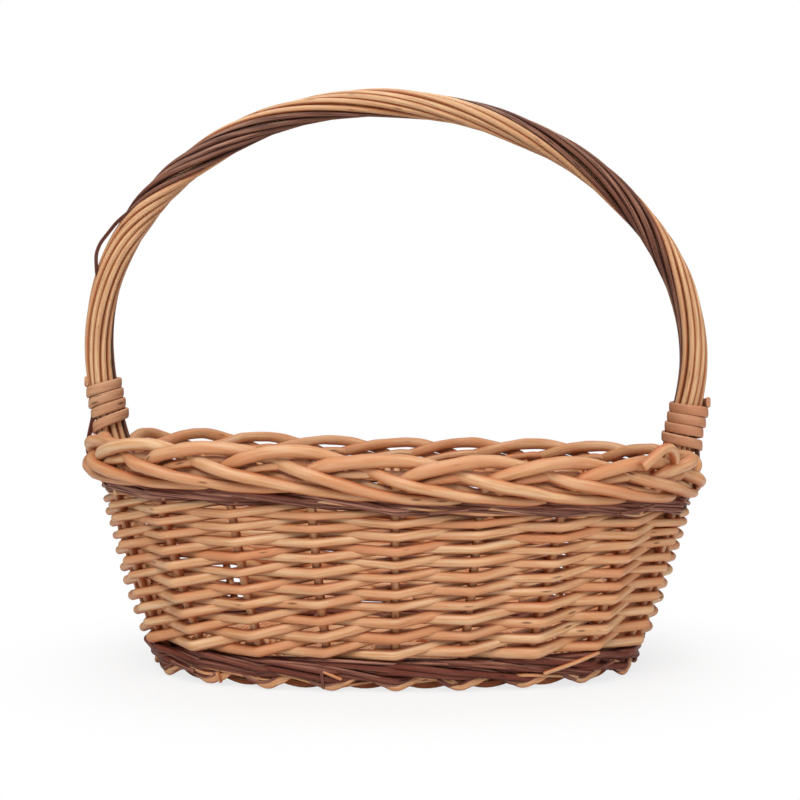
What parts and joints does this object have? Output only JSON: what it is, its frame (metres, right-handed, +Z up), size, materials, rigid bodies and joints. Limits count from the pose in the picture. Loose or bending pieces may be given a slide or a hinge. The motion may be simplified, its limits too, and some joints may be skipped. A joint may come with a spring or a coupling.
{
  "type": "foraging basket",
  "caption": "Oval willow basket for gathering mushrooms, with a flared woven wall, a plaited rim and a fixed hooped handle of twisted rods.",
  "frame": {"origin": "centre of the base on the surface that the basket stands on", "axes": "+Z up, +X along the long side of the oval from one handle foot to the other, +Y across the basket"},
  "size_m": [0.406, 0.2994, 0.3665],
  "materials": {
    "natural_willow": "peeled buff willow rods, satin, tan with paler and redder lengths",
    "dark_willow": "dark brown willow in its bark, with a faint purple tint, satin",
    "natural_handle_rod": "peeled willow handle rods, satin, slightly darker than the wall",
    "dark_handle_rod": "dark brown willow handle rods in their bark, satin"
  },
  "bodies": {
    "root": {"woven_base": "natural_willow", "foot_ring": "natural_willow", "stake_01": "natural_willow", "stake_02": "natural_willow", "stake_03": "natural_willow", "stake_04": "natural_willow", "stake_05": "natural_willow", "stake_06": "natural_willow", "stake_07": "natural_willow", "stake_08": "natural_willow", "stake_09": "natural_willow", "stake_10": "natural_willow", "stake_11": "natural_willow", "stake_12": "natural_willow", "stake_13": "natural_willow", "stake_14": "natural_willow", "stake_15": "natural_willow", "stake_16": "natural_willow", "stake_17": "natural_willow", "stake_18": "natural_willow", "stake_19": "natural_willow", "stake_20": "natural_willow", "stake_21": "natural_willow", "stake_22": "natural_willow", "weaver_01": "natural_willow", "weaver_02": "natural_willow", "weaver_03": "natural_willow", "weaver_04": "natural_willow", "weaver_05": "natural_willow", "weaver_06": "natural_willow", "weaver_07": "natural_willow", "weaver_08": "natural_willow", "weaver_09": "natural_willow", "weaver_10": "natural_willow", "weaver_11": "natural_willow", "weaver_12": "natural_willow", "weaver_13": "natural_willow", "weaver_14": "natural_willow", "weaver_15": "natural_willow", "weaver_16": "natural_willow", "weaver_17": "natural_willow", "weaver_18": "natural_willow", "weaver_19": "natural_willow", "weaver_20": "natural_willow", "weaver_21": "natural_willow", "weaver_22": "natural_willow", "upset_wale": "dark_willow", "top_wale": "dark_willow", "handle_bow": "natural_handle_rod", "left_binding": "natural_handle_rod", "right_binding": "natural_handle_rod", "handle_strand_1": "natural_handle_rod", "handle_strand_2": "natural_handle_rod", "handle_strand_3": "dark_handle_rod", "handle_strand_4": "dark_handle_rod", "handle_strand_5": "natural_handle_rod", "handle_strand_6": "natural_handle_rod", "handle_strand_7": "dark_handle_rod", "handle_strand_8": "dark_handle_rod"}
  },
  "joints": []
}
